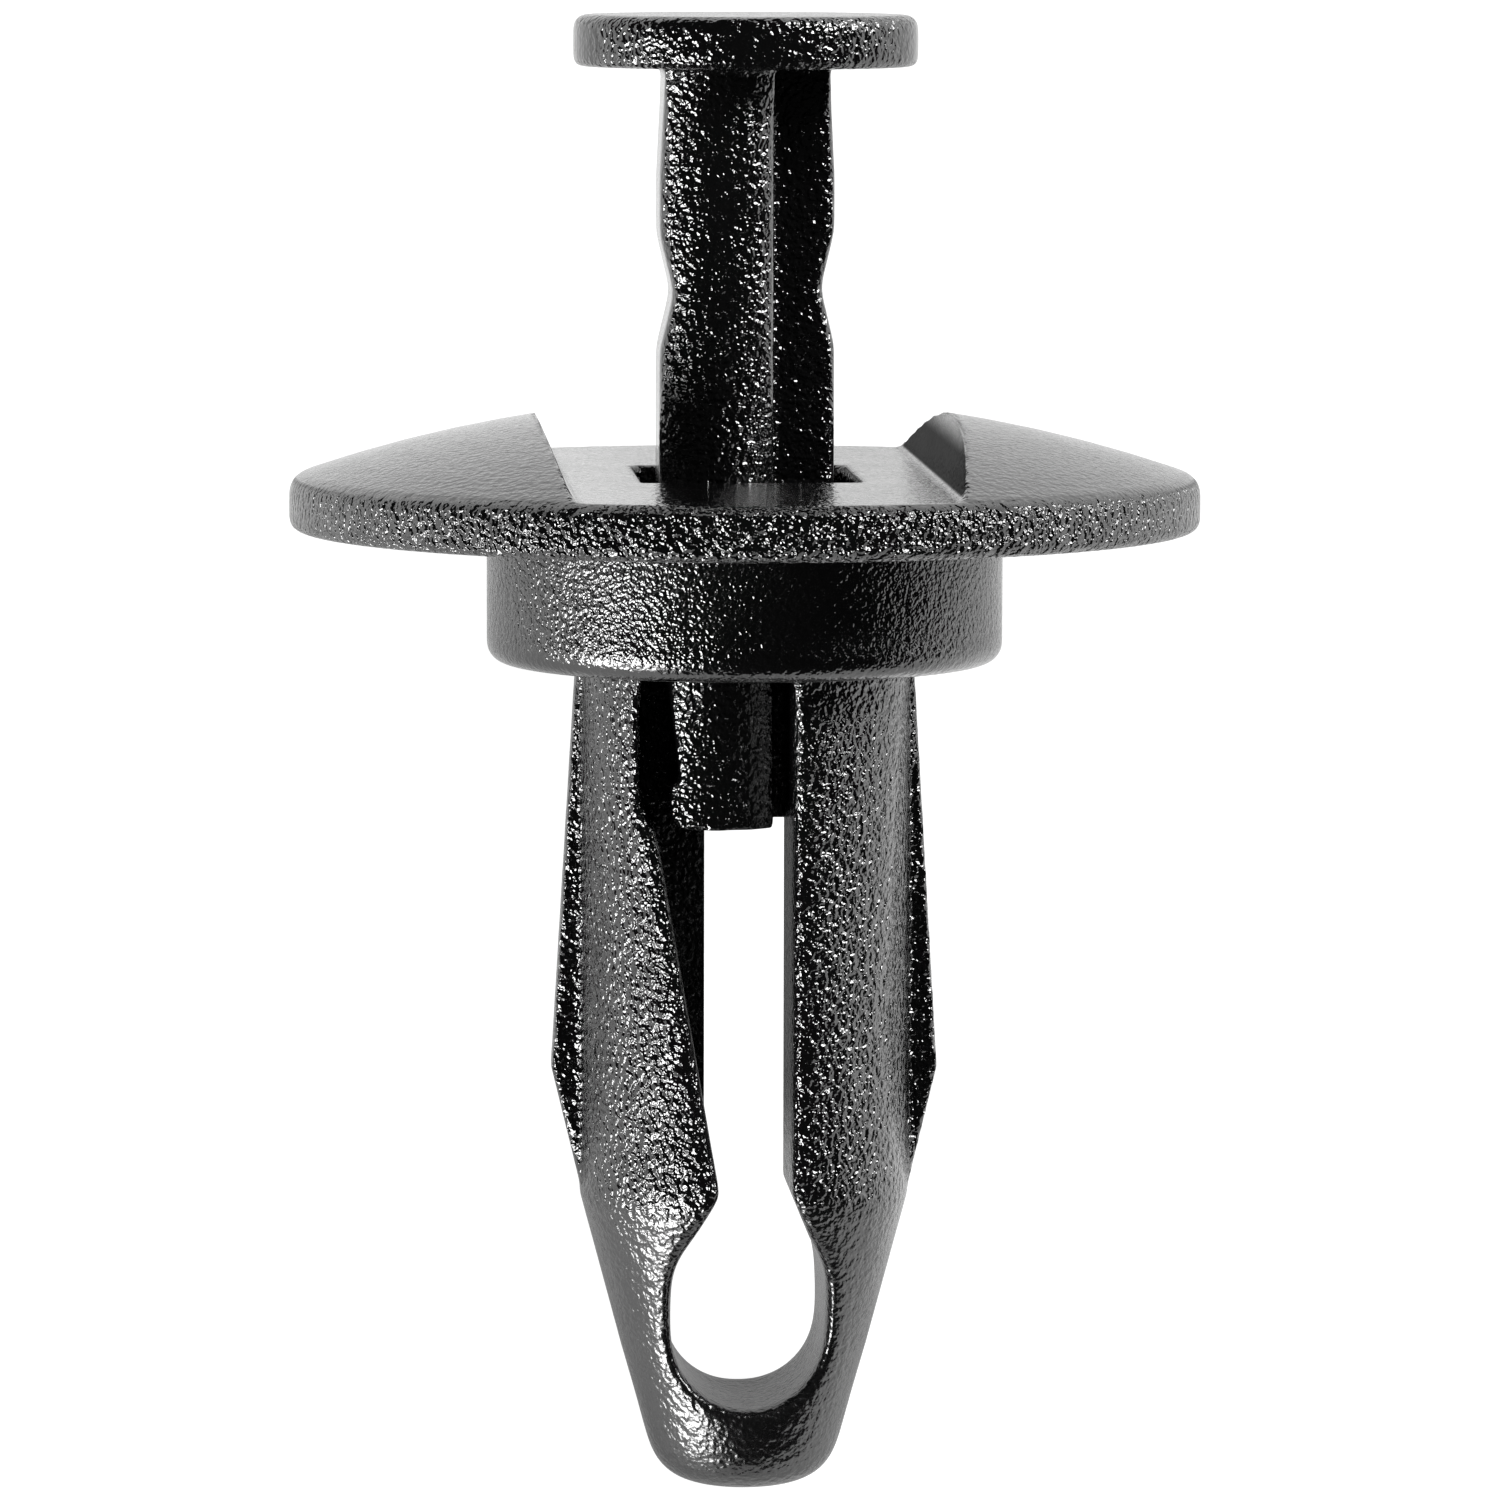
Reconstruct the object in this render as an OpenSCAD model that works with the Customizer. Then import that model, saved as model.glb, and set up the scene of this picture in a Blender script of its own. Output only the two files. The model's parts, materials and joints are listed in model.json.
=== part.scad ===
// Push-type bumper cover retainer: a moulded nylon body with two spreading
// legs, and a push pin that stands raised in it, ready to be driven home.
// The pieces are drawn upright, with the head's seat at z = 0, and are then
// laid on their side as the loose retainer comes to rest.

/* [Head] */
// Diameter of the round head
head_d = 20; // [17:0.5:26]
// Height of the head's edge, where the dome would meet the rim wall
rim_h = 1.13; // [0.9:0.01:1.6]
// Radius of the domed top
dome_r = 30; // [24:1:60]
// Rounding of the rim's upper edge
rim_round = 0.45; // [0.2:0.05:0.6]
// Rounding of the rim's lower edge, around the seat
seat_round = 0.25; // [0.1:0.05:0.3]
// Height of the channel's floor above the seat
channel_floor = 1.2; // [0.8:0.05:1.3]
// Lean of the channel's walls from upright, in degrees
channel_draft = 20; // [5:1:35]
// Gap between the driven pin's head and each foot of the channel's walls
channel_gap = 0.32; // [0.1:0.02:0.8]

/* [Collar] */
// Diameter of the collar that centres the cover's hole
collar_d = 11.35; // [9.5:0.05:13]
// Height of the collar below the seat
collar_h = 2.93; // [2:0.01:4]
// Rounding of the collar's lower edge
collar_round = 0.45; // [0.1:0.05:0.6]

/* [Legs] */
// Diameter across the two legs
leg_d = 7.26; // [6.9:0.02:8]
// Length from the seat to the end of the tip
stem_len = 21.2; // [19:0.1:26]
// Length of the tapered tip
tip_len = 6.5; // [5.5:0.1:8]
// Slope of the tip from the axis, in degrees
tip_angle = 15; // [10:0.5:16]
// Rounding of the tip's end
tip_round = 1.15; // [0.5:0.05:1.3]
// Span across the two outer fins at their widest
fin_span = 8.52; // [7.9:0.02:9.4]
// Distance from the seat down to the fins' widest point
fin_drop = 11.9; // [10:0.1:13.5]
// Height of a fin over the leg where it leaves the collar
fin_start = 0.09; // [0.02:0.01:0.15]
// How deep a fin's lower end runs into the leg
fin_sink = 0.05; // [0.04:0.01:0.1]
// Thickness of a fin
fin_t = 0.9; // [0.6:0.05:1.4]

/* [Keyhole] */
// Width of the keyhole between the legs
keyhole_w = 3.4; // [2.8:0.02:3.8]
// Length of the keyhole's straight sides
keyhole_side = 1.06; // [0.2:0.01:1.3]
// Thickness of the tip under the keyhole
tip_wall = 1.9; // [1.5:0.01:2.6]
// How far the neck's sides cut inside the keyhole's circle
keyhole_bite = 0.05; // [0.03:0.01:0.2]
// Height of the slot's neck above the keyhole's upper centre
neck_rise = 2.21; // [2:0.01:2.6]

/* [Pin] */
// Diameter of the pin's head
pin_head_d = 7.56; // [6.6:0.02:8]
// Thickness of the pin's head
pin_head_h = 1.14; // [0.8:0.02:1.6]
// Rounding of the pin head's upper edge
pin_top_round = 0.3; // [0.1:0.02:0.4]
// Rounding of the pin head's lower edge
pin_under_round = 0.2; // [0.1:0.02:0.35]
// Length of the pin below its head
pin_len = 16.52; // [15.5:0.01:18]
// Width of the shaft
shaft_w = 3.97; // [3.7:0.01:4.4]
// Depth of the shaft, front to back
shaft_t = 5.4; // [5:0.02:5.5]
// Radius of the shaft's crowned front and rear faces
shaft_crown = 1.9; // [1.6:0.1:4]
// Width over which the shaft's front and rear halves overlap
web_w = 1.02; // [0.8:0.02:1.3]
// How much narrower each side is where the shaft leaves the head
shaft_pinch = 0.12; // [0.05:0.01:0.25]
// Depth of the waist on each side of the shaft
waist_depth = 0.3; // [0.15:0.01:0.5]
// Length of the waist
waist_len = 2.5; // [1.6:0.05:3]
// Distance from the pin's head down to the middle of the waist
waist_drop = 4.85; // [3.5:0.05:5.5]
// Length of the hook at the pin's end
hook_len = 1.03; // [0.7:0.01:1.4]
// How far the hook steps out from the neck
hook_step = 0.22; // [0.1:0.01:0.35]
// How far the hook stays inside the shaft's width
hook_inset = 0.24; // [0.15:0.01:0.45]
// Rounding of the hook's lower corner
hook_round = 0.35; // [0.1:0.01:0.5]
// Slope of the neck above the hook, in degrees
neck_angle = 7.2; // [4:0.1:10]

/* [Fits] */
// Gap between the pin and the ends of its hole, on each side
hole_gap_x = 0.38; // [0.1:0.01:0.5]
// Gap between the pin and the sides of its hole, front and rear
hole_gap_y = 0.1; // [0.05:0.01:0.3]
// Corner rounding of the pin's hole
hole_round = 0.3; // [0.1:0.05:0.6]
// Gap between the shaft's web and each side of the slot
slot_gap = 0.36; // [0.1:0.01:0.5]
// Straight stretch below the collar before the ramps' shoulders
ramp_start = 2.97; // [1.5:0.01:4]
// How far each ramp's shoulder closes in
shoulder_step = 0.31; // [0.1:0.01:0.35]
// Height of each ramp's shoulder
shoulder_h = 0.5; // [0.2:0.05:0.8]
// How far the front ramp stands into the slot at the neck
ramp_reach = 0.18; // [0:0.01:0.3]
// How far the rear ramp stays back from the slot at the neck
ramp_back = 0.2; // [0:0.01:0.3]
// Gap between the raised pin's hook and the ramps
hook_gap = 0.31; // [0.05:0.01:0.35]

/* [Hidden] */
$fn = 96;

// Extra length that carries a cut clear through a face
through = 1;
// Turn of the revolved body, so that a mesh of it lies on a flat of the rim
seam_turn = 3.15;

// Head: the rim's rounding touches both the wall and the dome
head_r = head_d / 2;
dome_z = rim_h - sqrt(dome_r ^ 2 - head_r ^ 2);
dome_top = dome_z + dome_r;
rim_round_r = head_r - rim_round;
rim_round_z = dome_z + sqrt((dome_r - rim_round) ^ 2 - rim_round_r ^ 2);
rim_touch_r = rim_round_r * dome_r / (dome_r - rim_round);
rim_touch_z = dome_z + (rim_round_z - dome_z) * dome_r / (dome_r - rim_round);
seat_flat_r = head_r - seat_round;
channel_foot = pin_head_d / 2 + channel_gap;
channel_lip = channel_foot + (dome_top - channel_floor) * tan(channel_draft);

// Legs: a straight stretch, then a cone that is tangent to the rounded end
collar_r = collar_d / 2;
leg_r = leg_d / 2;
taper_z = -(stem_len - tip_len);
tip_round_z = tip_round - stem_len;
tip_flat_r = leg_r - (taper_z - tip_round_z) * tan(tip_angle) - tip_round / cos(tip_angle);
tip_touch_r = tip_flat_r + tip_round * cos(tip_angle);
tip_touch_z = tip_round_z - tip_round * sin(tip_angle);
fin_r = fin_span / 2;

// Keyhole and slot
keyhole_r = keyhole_w / 2;
keyhole_low = -stem_len + tip_wall + keyhole_r;
keyhole_high = keyhole_low + keyhole_side;
neck_z = keyhole_high + neck_rise;
slot_half = web_w / 2 + slot_gap;

// Ramps: from the end of the pin's hole, over a shoulder, down to the neck
hole_x = shaft_w / 2 + hole_gap_x;
hole_y = shaft_t / 2 + hole_gap_y;
shoulder_z = -collar_h - ramp_start;
ramp_x = hole_x - shoulder_step;
ramp_z = shoulder_z - shoulder_h;
ramp_end = slot_half - ramp_reach;
ramp_slope = (ramp_x - ramp_end) / (ramp_z - neck_z);

// Pin: it stands where its hook just clears the ramps
hook_x = shaft_w / 2 - hook_inset;
pin_end_z = ramp_z - (ramp_x - hook_x - hook_gap) / ramp_slope;
pin_head_z = pin_end_z + pin_len;
pin_top_z = pin_head_z + pin_head_h;
pin_head_r = pin_head_d / 2;
half_x = (web_w - shaft_w) / 4;
hook_z = pin_end_z + hook_len;
neck_x = hook_x - hook_step;
neck_top_z = hook_z + (shaft_w / 2 - neck_x) / tan(neck_angle);
waist_z = pin_head_z - waist_drop;

// Rest: the loose retainer lies on its rim and on its tip
rest_run = seat_round - tip_round_z;
rest_rise = seat_flat_r - tip_flat_r;
rest_reach = sqrt(rest_run ^ 2 + rest_rise ^ 2);
rest_tilt = atan2(rest_rise, rest_run) + asin((seat_round - tip_round) / rest_reach);
rest_lift = seat_flat_r * cos(rest_tilt) - seat_round * sin(rest_tilt) + seat_round;
rest_head_y = (pin_head_r - pin_top_round) * sin(rest_tilt)
    + (pin_top_z - pin_top_round) * cos(rest_tilt) + pin_top_round;
rest_tip_y = tip_flat_r * sin(rest_tilt) - tip_round_z * cos(rest_tilt) + tip_round;
rest_shift = (rest_tip_y - rest_head_y) / 2;

// Where a line from a point on the right touches a circle on the axis
function tangent_angle(point, centre_z, radius) =
    atan2(point.y - centre_z, point.x)
    - acos(radius / norm([point.x, point.y - centre_z]));

// Where the neck's side from this x ends, just inside the keyhole's circle
function keyhole_touch(x) =
    let (radius = keyhole_r - keyhole_bite)
    let (angle = tangent_angle([x, neck_z], keyhole_high, radius))
    [radius * cos(angle), keyhole_high + radius * sin(angle)];

// Lays an upright piece down on its rear side, with the tip towards -Y
module lay_down() {
    translate([0, rest_shift, rest_lift])
        rotate([rest_tilt - 90, 0, 0])
            children();
}

// Extrudes a drawing of the X-Z plane along Y
module along_y(from, to) {
    translate([0, to, 0])
        rotate([90, 0, 0])
            linear_extrude(to - from)
                children();
}

// Repeats a piece half a turn round the axis
module both_sides() {
    for (turn = [0, 180]) {
        rotate(turn)
            children();
    }
}

// Half section of the domed head with its rounded rim
module head_section() {
    intersection() {
        translate([0, dome_z])
            circle(dome_r, $fn = 360);
        square([rim_touch_r, dome_top]);
    }
    polygon([
        [0, 0],
        [seat_flat_r, 0],
        [head_r, seat_round],
        [head_r, rim_round_z],
        [rim_touch_r, rim_touch_z],
        [0, rim_touch_z]
    ]);
    translate([rim_round_r, rim_round_z])
        circle(rim_round);
    translate([seat_flat_r, seat_round])
        circle(seat_round);
}

// Half section of the collar with its rounded lower edge
module collar_section() {
    translate([0, collar_round - collar_h])
        square([collar_r, collar_h - collar_round]);
    translate([0, -collar_h])
        square([collar_r - collar_round, collar_h]);
    translate([collar_r - collar_round, collar_round - collar_h])
        circle(collar_round);
}

// Half section of the stem: straight legs, tapered tip and rounded end
module stem_section() {
    polygon([
        [0, 0],
        [leg_r, 0],
        [leg_r, taper_z],
        [tip_touch_r, tip_touch_z],
        [tip_flat_r, -stem_len],
        [0, -stem_len]
    ]);
    intersection() {
        translate([tip_flat_r, tip_round_z])
            circle(tip_round);
        translate([0, -stem_len])
            square([leg_r, stem_len]);
    }
}

// A fin down the outside of one leg
module fin() {
    along_y(-fin_t / 2, fin_t / 2)
        polygon([
            [leg_r / 2, -collar_h / 2],
            [leg_r + fin_start, -collar_h / 2],
            [leg_r + fin_start, -collar_h],
            [fin_r, -fin_drop],
            [leg_r - fin_sink, taper_z],
            [leg_r / 2, taper_z]
        ]);
}

// Channel across the head, which takes the driven pin's head
module head_channel() {
    along_y(-head_r - through, head_r + through)
        polygon([
            [-channel_foot, channel_floor],
            [channel_foot, channel_floor],
            [channel_lip, dome_top],
            [channel_lip, dome_top + through],
            [-channel_lip, dome_top + through],
            [-channel_lip, dome_top]
        ]);
}

// Hole through the head and the collar for the pin's shaft
module pin_hole() {
    translate([0, 0, -collar_h])
        linear_extrude(collar_h + channel_floor + through) {
            square([2 * hole_x, 2 * (hole_y - hole_round)], center = true);
            square([2 * (hole_x - hole_round), 2 * hole_y], center = true);
            for (x = [-1, 1], y = [-1, 1]) {
                translate([x * (hole_x - hole_round), y * (hole_y - hole_round)])
                    circle(hole_round);
            }
        }
}

// Keyhole through the stem above the tip
module keyhole() {
    along_y(-leg_r - through, leg_r + through) {
        translate([-keyhole_r, keyhole_low])
            square([keyhole_w, keyhole_side]);
        for (z = [keyhole_low, keyhole_high]) {
            translate([0, z])
                circle(keyhole_r);
        }
    }
}

// Front half of the slot that parts the legs. The pin's hook slides down the
// ramp on its left, which ends at the neck, and it opens into the keyhole
module half_slot(end_x) {
    left = keyhole_touch(end_x);
    right = keyhole_touch(slot_half);
    along_y(-leg_r - through, 0)
        polygon([
            [-hole_x, -collar_h],
            [-hole_x, shoulder_z],
            [-ramp_x, ramp_z],
            [-end_x, neck_z],
            [-left.x, left.y],
            [0, keyhole_high],
            right,
            [slot_half, neck_z],
            [slot_half, -collar_h]
        ]);
}

// Head, collar, legs and fins, moulded as one piece
module retainer_body() {
    color("#1b1b1d")
        difference() {
            union() {
                rotate(seam_turn)
                    rotate_extrude() {
                        head_section();
                        collar_section();
                        stem_section();
                    }
                both_sides()
                    fin();
            }
            head_channel();
            pin_hole();
            keyhole();
            half_slot(ramp_end);
            rotate(180)
                half_slot(slot_half + ramp_back);
        }
}

// Half section of the pin's head
module pin_head_section() {
    polygon([
        [0, pin_head_z],
        [pin_head_r - pin_under_round, pin_head_z],
        [pin_head_r, pin_head_z + pin_under_round],
        [pin_head_r, pin_top_z - pin_top_round],
        [pin_head_r - pin_top_round, pin_top_z],
        [0, pin_top_z]
    ]);
    translate([pin_head_r - pin_under_round, pin_head_z + pin_under_round])
        circle(pin_under_round);
    translate([pin_head_r - pin_top_round, pin_top_z - pin_top_round])
        circle(pin_top_round);
}

// Side of one half of the shaft, with its waist, neck and hook on the left
module shaft_side() {
    side = -shaft_w / 2;
    polygon([
        [web_w / 2, pin_head_z + pin_head_h / 2],
        [side + shaft_pinch, pin_head_z + pin_head_h / 2],
        [side + shaft_pinch, pin_head_z],
        [side, waist_z + waist_len],
        [side, waist_z + waist_len / 2],
        [side + waist_depth, waist_z],
        [side, waist_z - waist_len / 2],
        [side, neck_top_z],
        [-neck_x, hook_z],
        [-hook_x, hook_z],
        [-hook_x, pin_end_z + hook_round],
        [hook_round - hook_x, pin_end_z],
        [web_w / 2, pin_end_z]
    ]);
    translate([hook_round - hook_x, pin_end_z + hook_round])
        circle(hook_round);
}

// Plan of the shaft's front half: a crowned face on straight sides
module shaft_plan() {
    translate([half_x, shaft_crown - shaft_t / 2]) {
        circle(shaft_crown);
        translate([-shaft_crown, 0])
            square([2 * shaft_crown, shaft_t]);
    }
}

// Front half of the shaft
module shaft_half() {
    intersection() {
        along_y(-shaft_t / 2 - through, 0)
            shaft_side();
        translate([0, 0, pin_end_z - through])
            linear_extrude(pin_len + pin_head_h + through)
                shaft_plan();
    }
}

// Push pin: a flat head on a shaft of two offset halves
module push_pin() {
    color("#232325") {
        rotate_extrude()
            pin_head_section();
        both_sides()
            shaft_half();
    }
}

lay_down() retainer_body();
lay_down() push_pin();
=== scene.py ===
# %% [markdown]
# # A push-type bumper cover retainer, dressed for a photograph
# The retainer is two nylon mouldings: a body with a domed head, a collar and two
# springy legs, and a push pin that stands raised in it. Their exact shapes come
# from the packed CAD model. This lesson rounds their edges as a mould does, gives
# the black nylon its spark-eroded grain, and sets the light of a small studio.

# %% Load the packed model
import json
import math

import bmesh
import bpy
from mathutils import Matrix, Vector


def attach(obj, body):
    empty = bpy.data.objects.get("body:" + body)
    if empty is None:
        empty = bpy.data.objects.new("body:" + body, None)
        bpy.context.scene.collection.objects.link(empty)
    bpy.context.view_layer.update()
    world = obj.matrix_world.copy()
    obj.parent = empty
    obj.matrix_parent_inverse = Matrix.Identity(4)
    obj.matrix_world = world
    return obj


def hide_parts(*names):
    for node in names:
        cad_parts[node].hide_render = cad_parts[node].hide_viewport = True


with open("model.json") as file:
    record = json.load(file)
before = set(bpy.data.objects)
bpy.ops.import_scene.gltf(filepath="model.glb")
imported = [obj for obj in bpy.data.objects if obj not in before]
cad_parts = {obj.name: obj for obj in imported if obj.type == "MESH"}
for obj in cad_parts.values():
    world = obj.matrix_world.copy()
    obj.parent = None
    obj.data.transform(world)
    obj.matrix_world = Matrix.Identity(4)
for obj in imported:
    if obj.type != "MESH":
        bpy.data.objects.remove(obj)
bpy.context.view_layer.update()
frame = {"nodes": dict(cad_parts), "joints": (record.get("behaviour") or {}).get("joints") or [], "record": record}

MM = 0.001

# %% [markdown]
# ## The retainer's own axes
# The loose retainer lies on its rim and its tip, so its axis leans in the room.
# Materials and the camera are easier to think of along the retainer itself: up
# the pin, across the legs, and out of the front. The push joint already gives the
# pin's direction, and the seat's mount a point of the seat, so both are read from
# the record instead of being typed in twice.

# %% Axes and seat
record = frame["record"]
PIN_UP = -Vector(frame["joints"][0]["axis"]).normalized()
ACROSS = Vector((1, 0, 0))
FRONT = ACROSS.cross(PIN_UP).normalized()
seat_mount = next(m for m in record["mounts"] if m["name"] == "cover_seat")
seat_point = Vector(seat_mount["pos_m"])
SEAT = seat_point - ACROSS * seat_point.x


def along(x, y, z):
    """A point in mm from the seat's centre: across, out of the rear, and up the pin."""
    return SEAT + (ACROSS * x - FRONT * y + PIN_UP * z) * MM


print("The pin points along", [round(v, 3) for v in PIN_UP])
print("The front looks along", [round(v, 3) for v in FRONT])

# %% [markdown]
# ## Where the edges are softest
# In the photograph the edges of the legs' slots and of the pin's shaft look rounder
# than the rest. Such softness could be painted on as weights, by hand, and would
# have to be painted again after each change of the CAD model. So two small
# functions tell from a point's place how soft its edge is.

# %% Soft edges of the legs and the shaft
LEG_RADIUS, TAPER_TOP, TAPER_SLOPE = 3.63, -14.7, 0.268
SKIN_DEPTH, FIN_SIDE, COLLAR_END, NECK = 1.2, 2.7, -3.1, -14.3
HOOK_TOP, HEAD_UNDERSIDE = -3.5, 9.6


def rise(value, span):
    """0 below zero, 1 beyond the span, and a straight rise between them."""
    return min(1.0, max(0.0, value / span))


def leg_edges(x, y, z):
    """1 near the legs' outer skin between the fins, and less at the neck, whose corners stay crisp."""
    skin = LEG_RADIUS - max(0.0, TAPER_TOP - z) * TAPER_SLOPE
    near_skin = rise(math.hypot(x, y) - skin + SKIN_DEPTH, 0.6)
    between_fins = rise(FIN_SIDE - abs(x), 0.3)
    below_collar = rise(COLLAR_END - z, 0.4)
    off_neck = min(1.0, 0.25 + abs(z - NECK) / 1.5)
    return near_skin * between_fins * below_collar * off_neck


def shaft_edges(x, y, z):
    """1 on the pin's shaft between its hooked end and its head, where the long edges are round."""
    return rise(z - HOOK_TOP, 0.5) * rise(HEAD_UNDERSIDE - z, 0.5)


print("Softness half-way down a leg's skin:", leg_edges(0, -LEG_RADIUS, -9),
      "and half-way up the shaft:", shaft_edges(0, 0, 3))

# %% [markdown]
# ## Moulded edges
# A moulded edge is never sharp: the tool's corners wear and the plastic shrinks
# from them, and on this retainer every edge has a soft line of light. A Bevel
# modifier would need clean edge loops, which a CAD mesh lacks. A voxel remesh
# treats all edges alike, inside and outside ones too, and a little smoothing then
# rounds them. A second smoothing works through a vertex group where the edges are
# softer. Last, a decimation takes out the faces that flat areas don't need.

# %% Tools for a mesh
def linked(name, data):
    """A new object in the scene."""
    made = bpy.data.objects.new(name, data)
    bpy.context.scene.collection.objects.link(made)
    return made


def mesh_in_mm(name, node):
    """A CAD node's mesh with its seams joined, scaled up to mm so that voxels aren't tiny numbers."""
    shape = bmesh.new()
    shape.from_mesh(frame["nodes"][node].data)
    bmesh.ops.remove_doubles(shape, verts=shape.verts, dist=1e-7)
    bmesh.ops.scale(shape, vec=(1 / MM, 1 / MM, 1 / MM), verts=shape.verts)
    mesh = bpy.data.meshes.new(name)
    shape.to_mesh(mesh)
    shape.free()
    return mesh


def after_modifiers(thing):
    """The mesh that an object's modifiers give."""
    depsgraph = bpy.context.evaluated_depsgraph_get()
    return bpy.data.meshes.new_from_object(thing.evaluated_get(depsgraph))


# %% Tools for worn edges
def smoothing(thing, rounds, group=""):
    """Adds rounds of smoothing, all over or in a vertex group alone."""
    wear = thing.modifiers.new("Mould wear", "SMOOTH")
    wear.factor = 0.5
    wear.iterations = rounds
    wear.vertex_group = group


def soft_group(thing, softer):
    """A vertex group weighted by a function of the place in mm along the retainer's axes."""
    group = thing.vertex_groups.new(name="soft")
    for vertex in thing.data.vertices:
        off = vertex.co - SEAT / MM
        weight = softer(off.dot(ACROSS), -off.dot(FRONT), off.dot(PIN_UP))
        if weight > 0:
            group.add([vertex.index], weight, "REPLACE")
    return group.name


# %% A rounded mesh
def moulded_mesh(name, node, voxel, rounds, softer, more, share):
    """A node's mesh with rounded edges; voxel is in mm, and share is of the remesh's faces."""
    rough = mesh_in_mm(name + "_rough", node)
    work = linked(name + "_work", rough)
    remesh = work.modifiers.new("Voxels", "REMESH")
    remesh.mode = "VOXEL"
    remesh.voxel_size = voxel
    fine = after_modifiers(work)
    work.modifiers.clear()
    work.data = fine
    smoothing(work, rounds)
    smoothing(work, more, soft_group(work, softer))
    lighter = work.modifiers.new("Lighter", "DECIMATE")
    lighter.ratio = share
    mesh = after_modifiers(work)
    bpy.data.objects.remove(work)
    bpy.data.meshes.remove(rough)
    bpy.data.meshes.remove(fine)
    mesh.name = name
    mesh.transform(Matrix.Scale(MM, 4))
    mesh.materials.clear()
    mesh.shade_smooth()
    return mesh


# %% The two mouldings
def moulding(name, node, **way):
    """The dressed piece that stands for a CAD node and rides on that node's body."""
    piece = linked(name, moulded_mesh(name, node, **way))
    body = next(b for b, members in record["behaviour"]["bodies"].items() if node in members)
    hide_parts(node)
    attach(piece, body)
    triangles = sum(len(p.vertices) - 2 for p in piece.data.polygons)
    print(name, "has", triangles, "triangles and rides on", body)
    return piece


body_piece = moulding("body_moulding", "retainer_body", voxel=0.08, rounds=5,
                      softer=leg_edges, more=150, share=0.34)
pin_piece = moulding("pin_moulding", "push_pin", voxel=0.06, rounds=16,
                     softer=shaft_edges, more=70, share=0.4)

# %% [markdown]
# ## Writing shader maths as Python
# A finish is a formula: how deep the grain is here, how worn there. Wiring Math
# nodes by hand hides that formula, so this small class wraps a socket and lets
# ordinary operators add the nodes. Any other node comes from its one method.

# %% A socket that does arithmetic
class Wire:
    """One output socket of a shader tree; arithmetic on it adds Math nodes to that tree."""

    def __init__(self, tree, socket=None):
        self.tree = tree
        self.socket = socket

    def node(self, kind, settings=None, sockets=None, out=0):
        """Adds a node: its settings come first, then the values or links of its sockets."""
        made = self.tree.nodes.new(kind)
        for name, value in (settings or {}).items():
            setattr(made, name, value)
        for key, value in (sockets or {}).items():
            if isinstance(value, Wire):
                self.tree.links.new(value.socket, made.inputs[key])
            else:
                made.inputs[key].default_value = value
        return Wire(self.tree, made.outputs[out] if len(made.outputs) else None)

    def math(self, operation, *values):
        return self.node("ShaderNodeMath", {"operation": operation}, dict(enumerate(values)))

    def vector(self, operation, sockets, out=0):
        return self.node("ShaderNodeVectorMath", {"operation": operation}, sockets, out)

    def __add__(self, other):
        return self.math("ADD", self, other)

    def __radd__(self, other):
        return self.math("ADD", other, self)

    def __sub__(self, other):
        return self.math("SUBTRACT", self, other)

    def __rsub__(self, other):
        return self.math("SUBTRACT", other, self)

    def __mul__(self, other):
        return self.math("MULTIPLY", self, other)

    def __rmul__(self, other):
        return self.math("MULTIPLY", other, self)

    def __truediv__(self, other):
        return self.math("DIVIDE", self, other)

    def __rtruediv__(self, other):
        return self.math("DIVIDE", other, self)

    def __abs__(self):
        return self.math("ABSOLUTE", self)

    def larger(self, other):
        return self.math("MAXIMUM", self, other)

    def between(self, low, high):
        """0 below low, 1 above high, and a smooth step between them."""
        return self.node("ShaderNodeMapRange", {"interpolation_type": "SMOOTHSTEP"},
                         {"Value": self, "From Min": low, "From Max": high})


def blank_tree(owner):
    """The emptied node tree of a material or a world, ready for wires."""
    owner.use_nodes = True
    owner.node_tree.nodes.clear()
    return Wire(owner.node_tree)


print("Reflected operators:", [name for name in vars(Wire) if name.startswith("__r")])

# %% [markdown]
# ## Spark-eroded black nylon
# The mould of such a clip is spark-eroded, which leaves a pebbled grain about a
# tenth of a millimetre wide. On black plastic almost all that the eye gets is the
# reflection, so the grain matters more than the colour: each pebble flashes where
# it faces a soft box. One noise field is enough for that. A Bump node reads it as
# a height, so no picture is needed and the grain runs on over every edge.

# %% The grain as a height
PEBBLES_PER_CELL = 0.64


def grain_height(start, place, size, seed):
    """Height from 0 to 1 of pebbles with a mean width of size mm, at a place in mm."""
    shifted = start.vector("ADD", {0: place, 1: (seed, seed * 2, -seed)})
    return start.node("ShaderNodeTexNoise", None, {
        "Vector": shifted, "Scale": PEBBLES_PER_CELL / size, "Detail": 1.4, "Roughness": 0.55}, "Fac")


def surface_place(start):
    """A point's place in mm, its height up the pin from the seat, and how far its face looks sideways."""
    metres = start.node("ShaderNodeTexCoord", None, None, "Object")
    place = start.vector("SCALE", {0: metres, "Scale": 1 / MM})
    from_seat = start.vector("SUBTRACT", {0: place, 1: SEAT / MM})
    height = start.vector("DOT_PRODUCT", {0: from_seat, 1: PIN_UP}, "Value")
    facing = start.node("ShaderNodeNewGeometry", None, None, "Normal")
    sideways = start.vector("DOT_PRODUCT", {0: facing, 1: ACROSS}, "Value")
    return place, height, abs(sideways)


print("A grain of 0.1 mm needs a noise scale of", round(PEBBLES_PER_CELL / 0.1, 2))

# %% [markdown]
# ## Where the grain is deep and where it is smooth
# A mould isn't eroded alike everywhere. On the body, the dome and the tip are
# smoother from polishing and wear. The collar's grain is finer and its lower lip
# smooth, while the rim is coarse. The channel's walls look almost black, so a matte
# black skin paints shade on them: a gloss would mirror the white floor there. The
# pin's flanks are nearly smooth and carry the light line along each edge. Heights
# are in mm from the seat, and steep tells how far a face looks sideways.

# %% Zones of the two mouldings
GRAIN_WIDTH = 0.1


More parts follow.
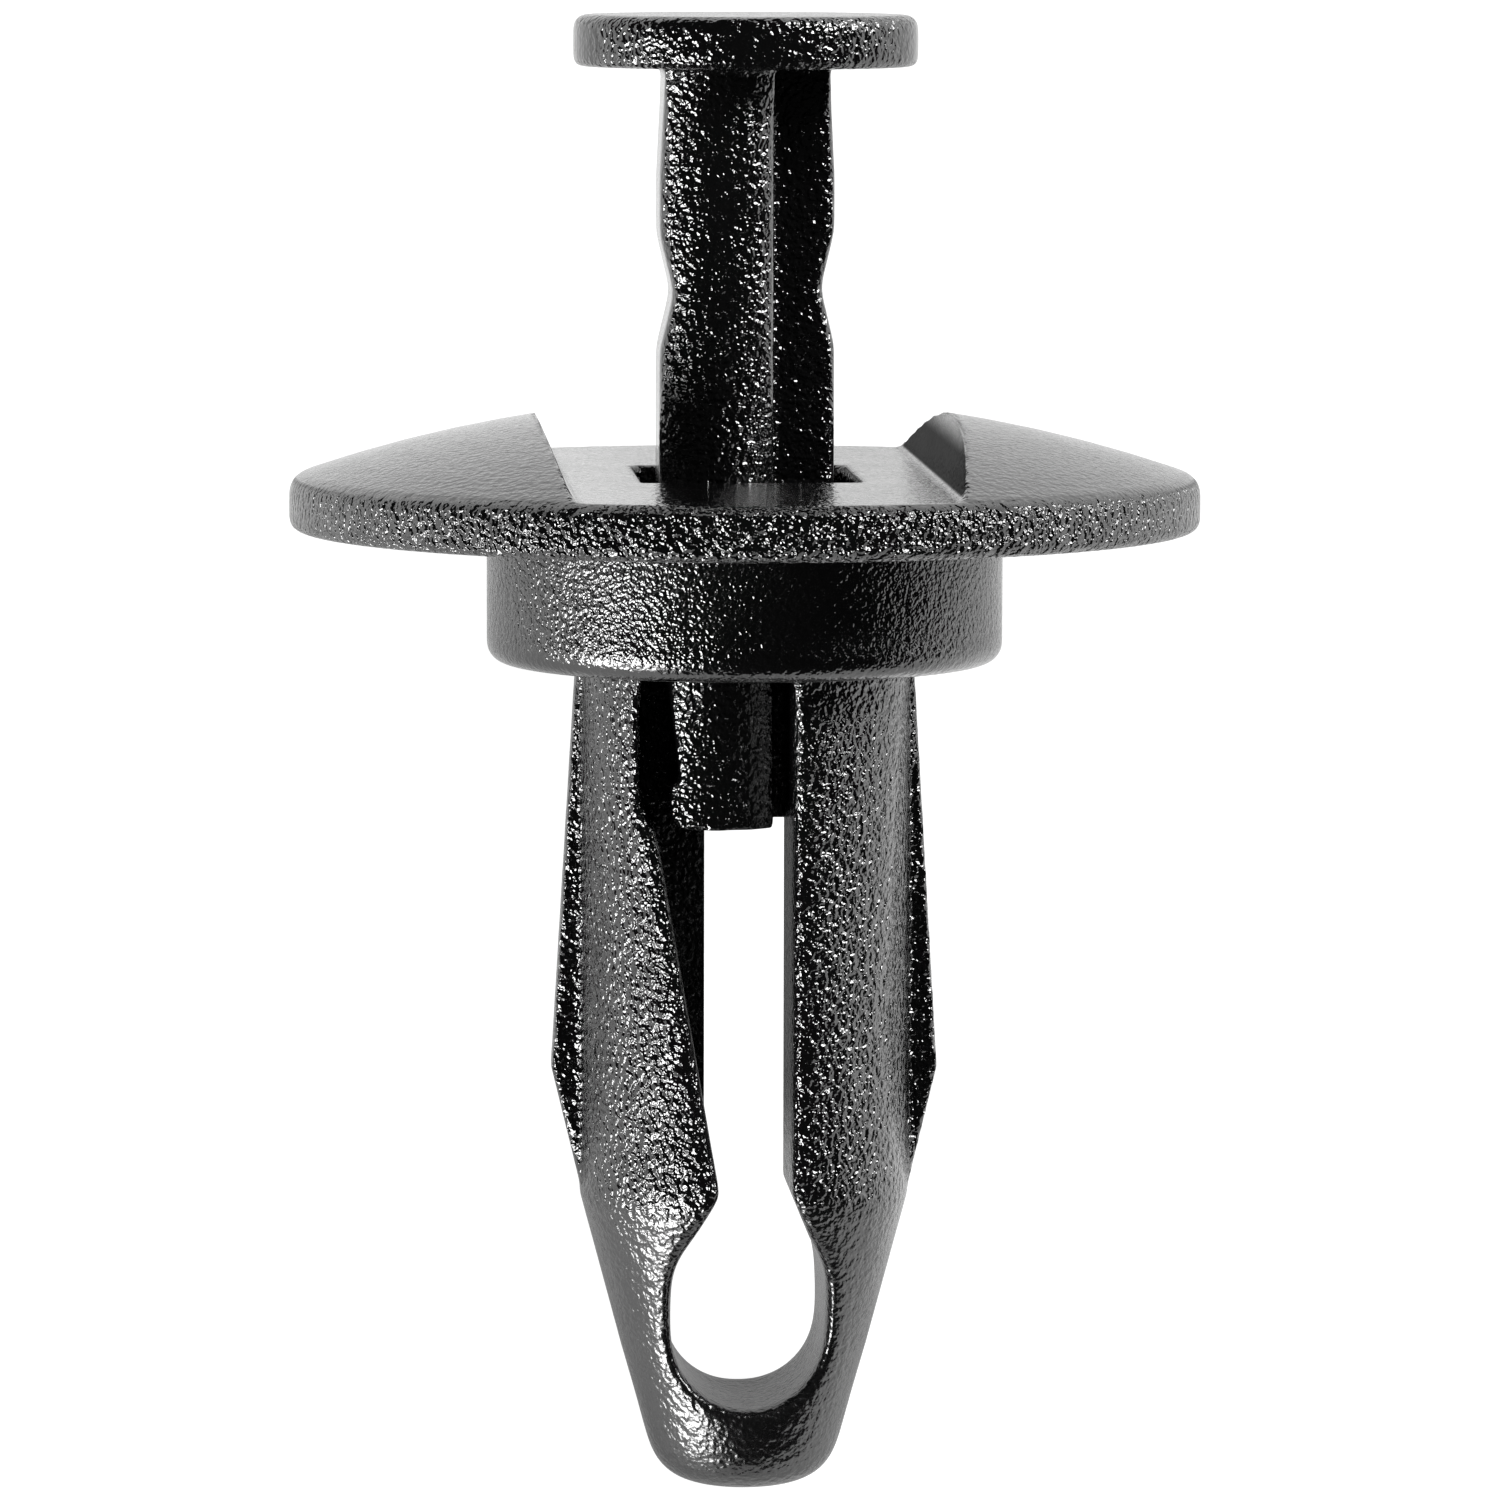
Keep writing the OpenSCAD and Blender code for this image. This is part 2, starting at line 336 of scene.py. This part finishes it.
def body_zones(height, steep):
    """The body's share of the full grain, the grain's width in mm, the wear that dulls it, and the share of a
    matte black skin that paints shade on the channel's walls.
    """
    dome = height.between(1.0, 1.2)
    tip = 1 - height.between(-15.6, -13.8)
    above_lip_edge = height.between(-3.0, -2.9)
    above_seat = height.between(-0.1, 0.0)
    collar = above_lip_edge - above_seat
    lip = above_lip_edge - height.between(-2.7, -2.3)
    rim = above_seat - dome
    # Painted shade: the channel's steep walls take a matte black skin, so they look dark instead of mirroring the
    # white floor.
    wall = steep.between(0.6, 0.8) * dome * (1 - height.between(1.9, 2.6))
    smoother = (1 - dome * 0.7) * (1 - collar * 0.5) * (1 - lip * 0.6) * (1 - tip * 0.62)
    return smoother * (1 + rim * 0.4), GRAIN_WIDTH - collar * 0.03, tip * 0.12, wall * 0.9


def pin_zones(height, steep):
    """The same four for the pin, whose grain only fades on its flanks."""
    return 1 - steep.between(0.8, 0.97) * 0.85, GRAIN_WIDTH, 0.0, 0.0


# %% The finish of both mouldings
DEEP_BLACK, WORN_BLACK = (0.0015, 0.0015, 0.0016, 1), (0.003, 0.003, 0.0031, 1)
# The black of the painted shade on the channel's walls.
PAINTED_SHADE_BLACK = (0.002, 0.002, 0.0021, 1)


def nylon(name, depth, zones, seed):
    """Black nylon with a grain depth mm deep, shared out by a function of height and steepness."""
    material = bpy.data.materials.new(name)
    start = blank_tree(material)
    place, height, steep = surface_place(start)
    share, size, wear, painted_shade_share = zones(height, steep)
    patches = start.node("ShaderNodeTexNoise", None,
                         {"Vector": place, "Scale": 0.45, "Detail": 1.0}, "Fac")
    relief = grain_height(start, place, size, seed) * share * (0.8 + patches * 0.4)
    bump = start.node("ShaderNodeBump", None,
                      {"Strength": 1.0, "Distance": depth * MM, "Height": relief}, "Normal")
    tint = start.node("ShaderNodeMix", {"data_type": "RGBA"},
                      {"Factor": patches, 6: DEEP_BLACK, 7: WORN_BLACK}, 2)
    gloss = start.node("ShaderNodeBsdfPrincipled", None, {
        "Base Color": tint, "Roughness": 0.1 + patches * 0.05 + wear, "Normal": bump,
        "IOR": 1.53, "Specular IOR Level": 1.0})
    # Painted shade: a matte black skin, mixed in where the zones ask for it.
    skin = start.node("ShaderNodeBsdfDiffuse", None, {"Color": PAINTED_SHADE_BLACK, "Normal": bump})
    mixed = start.node("ShaderNodeMixShader", None, {0: painted_shade_share, 1: gloss, 2: skin})
    start.node("ShaderNodeOutputMaterial", None, {"Surface": mixed})
    print(name, "uses", len(start.tree.nodes), "nodes")
    return material


body_piece.data.materials.append(nylon("body_nylon", 0.13, body_zones, 3.0))
pin_piece.data.materials.append(nylon("pin_nylon", 0.1, pin_zones, 11.0))

# %% [markdown]
# ## A pale floor that stays white
# The photograph has a plain white ground. A floor that is lit up to white would
# need more light than the retainer, so the floor glows for the camera and for
# reflections, and still takes part of its brightness from the lamps: there the
# shadow of the retainer stays. Glossy plastic mirrors the ground right below it,
# so for reflections alone a shadow is painted on the floor: a dark strip under the
# legs, where the retainer would shade it, and a painted brighter patch on their right.

# %% Floor
FLOOR_RADIUS = 0.9
floor_mesh = bpy.data.meshes.new("floor")
floor_shape = bmesh.new()
bmesh.ops.create_circle(floor_shape, cap_ends=True, segments=96, radius=FLOOR_RADIUS)
floor_shape.to_mesh(floor_mesh)
floor_shape.free()
floor = linked("floor", floor_mesh)
print("Floor is", 2 * FLOOR_RADIUS, "m wide")

# %% Painted shadow and light that reflections find on the floor
floor_paint = bpy.data.materials.new("floor_white")
pen = blank_tree(floor_paint)
spot = pen.node("ShaderNodeTexCoord", None, None, "Object")
across, lengthwise = (pen.node("ShaderNodeSeparateXYZ", None, {0: spot}, axis) for axis in "XY")
# Painted shadow seen in reflections: the mask below is 1 beside and ahead of the strip under the legs, 0.6 well
# behind it, and 0.12 in it.
beside = abs(across).between(2.5 * MM, 6 * MM)
ahead = lengthwise.between(2 * MM, 6 * MM)
behind = 0.6 - lengthwise.between(-9 * MM, -6 * MM) * 0.48
painted_lit = beside.larger(ahead).larger(behind)
# Painted light seen in reflections: a brighter patch of floor on the legs' right.
painted_bright_patch = ((across.between(2 * MM, 6 * MM) - across.between(20 * MM, 45 * MM))
              * (lengthwise.between(-13 * MM, -9.5 * MM) - lengthwise.between(-1 * MM, 3 * MM)))
print("The legs' strip and the patch beside it use", len(pen.tree.nodes), "nodes")

# %% The floor's paint
CAMERA_GLOW, MIRROR_GLOW, PAINTED_PATCH_GLOW, GLOW = 0.62, 0.44, 0.56, 1.5
seen, mirrored, through_glass = (pen.node("ShaderNodeLightPath", None, None, "Is %s Ray" % kind)
                                 for kind in ("Camera", "Glossy", "Transmission"))
# Reflections get the glow only where the painted shadow leaves it, and more of it on the painted bright patch.
shown = ((seen + through_glass).between(0, 1) * CAMERA_GLOW
         + mirrored * painted_lit * (MIRROR_GLOW + painted_bright_patch * PAINTED_PATCH_GLOW))
chalk = pen.node("ShaderNodeBsdfDiffuse", None, {"Color": (0.8, 0.8, 0.8, 1)})
# Painted shade: inside the strip under the legs, reflections find this dark diffuse instead of the chalk.
shade = pen.node("ShaderNodeBsdfDiffuse", None, {"Color": (0.03, 0.03, 0.03, 1)})
chalk_and_painted_shade = pen.node("ShaderNodeMixShader", None, {0: mirrored * (1 - painted_lit), 1: chalk, 2: shade})
glow = pen.node("ShaderNodeEmission", None, {"Color": (1, 1, 1, 1), "Strength": GLOW})
ground = pen.node("ShaderNodeMixShader", None, {0: shown, 1: chalk_and_painted_shade, 2: glow})
pen.node("ShaderNodeOutputMaterial", None, {"Surface": ground})
floor_mesh.materials.append(floor_paint)
print("The floor glows with", round(CAMERA_GLOW * GLOW, 2), "for the camera")

# %% [markdown]
# ## A dim room
# A black part shows every bright wall as a grey veil, and in the photograph its
# dark sides are truly dark. So the room above is dim, and only the camera sees it
# white. A grey room with darker flags beside the retainer would do the same, with
# more to set up.

# %% Room
ROOM_LEVEL = 0.015
world = bpy.data.worlds.new("studio")
bpy.context.scene.world = world
sky = blank_tree(world)
sky_seen = sky.node("ShaderNodeLightPath", None, None, "Is Camera Ray")
room = sky.node("ShaderNodeBackground", None, {"Color": (1, 1, 1, 1), "Strength": ROOM_LEVEL})
white = sky.node("ShaderNodeBackground", None, {"Color": (1, 1, 1, 1), "Strength": 1.0})
backdrop = sky.node("ShaderNodeMixShader", None, {0: sky_seen, 1: room, 2: white})
sky.node("ShaderNodeOutputWorld", None, {"Surface": backdrop})
print("Room level", ROOM_LEVEL, "and white for the camera")

# %% [markdown]
# ## Soft boxes
# In the photograph the flashes sit on walls that lean to the left, and a second
# light catches the dome and the edges on the right. A soft box is brightest in its
# middle and fades outwards, so each one here is a small bright core in a wide,
# weaker halo. One pair stands on the left and towards the tip, and the other on
# the right, beyond the pin's head.

# %% A soft box
LAMP_REACH = 0.5


def direction(azimuth, pitch):
    """A unit vector from the retainer: degrees to the right of its front, and up towards the pin's head."""
    turn, lift = math.radians(azimuth), math.radians(pitch)
    level = ACROSS * math.sin(turn) + FRONT * math.cos(turn)
    return level * math.cos(lift) + PIN_UP * math.sin(lift)


def soft_box(name, azimuth, pitch, spread, radiance):
    """A lamp at LAMP_REACH; spread is its width and height in degrees, and radiance its brightness."""
    lamp = bpy.data.lights.new(name, "AREA")
    lamp.shape = "RECTANGLE"
    lamp.size, lamp.size_y = (2 * LAMP_REACH * math.tan(math.radians(angle) / 2) for angle in spread)
    lamp.energy = radiance * math.pi * lamp.size * lamp.size_y
    holder = linked(name, lamp)
    way = direction(azimuth, pitch)
    side = PIN_UP.cross(way).normalized()
    turn = Matrix((side, way.cross(side), way)).transposed().to_4x4()
    holder.matrix_world = Matrix.Translation(along(0, 0, -4) + way * LAMP_REACH) @ turn
    print(name, "gives", round(lamp.energy, 2), "W at height", round(holder.location.z, 2), "m")


# %% Lamps
soft_box("left_core", -65, -26, (32, 22), 15.0)
soft_box("left_halo", -72, -30, (48, 40), 5.0)
soft_box("right_core", 66, 36, (26, 22), 14.0)
soft_box("right_halo", 74, 40, (44, 36), 5.0)

# %% [markdown]
# ## The camera
# The view was matched to the photograph's outline: a long lens a little to the
# left, nearly six degrees above the seat's plane. The retainer lies down here, so
# the same view looks down at it steeply.

# %% Camera
AZIMUTH, PITCH, ROLL = -3.4, 5.8, math.radians(0.12)
DISTANCE, PIXELS_PER_MM, IMAGE = 191.0, 45.38, 1500
aim = along(0.126, 0, -4.9)
toward = direction(AZIMUTH, PITCH)
level_right = ACROSS * math.cos(math.radians(AZIMUTH)) - FRONT * math.sin(math.radians(AZIMUTH))
level_up = toward.cross(level_right)
right = level_right * math.cos(ROLL) + level_up * math.sin(ROLL)
up = level_up * math.cos(ROLL) - level_right * math.sin(ROLL)
lens = bpy.data.cameras.new("camera")
lens.sensor_width = 36
lens.lens = DISTANCE * PIXELS_PER_MM / IMAGE * lens.sensor_width
lens.clip_start, lens.clip_end = 0.01, 10
camera = linked("camera", lens)
camera.matrix_world = (Matrix.Translation(aim + toward * DISTANCE * MM)
                       @ Matrix((right, up, toward)).transposed().to_4x4())
bpy.context.scene.camera = camera
looking_down = math.degrees(math.asin(toward.z))
print("Lens", round(lens.lens, 1), "mm, looking down at", round(looking_down, 1), "degrees")

# %% [markdown]
# ## Colours as written
# The Standard view shows each colour as it was set, where a filmic one would lift
# the blacks.

bpy.context.scene.view_settings.view_transform = "Standard"
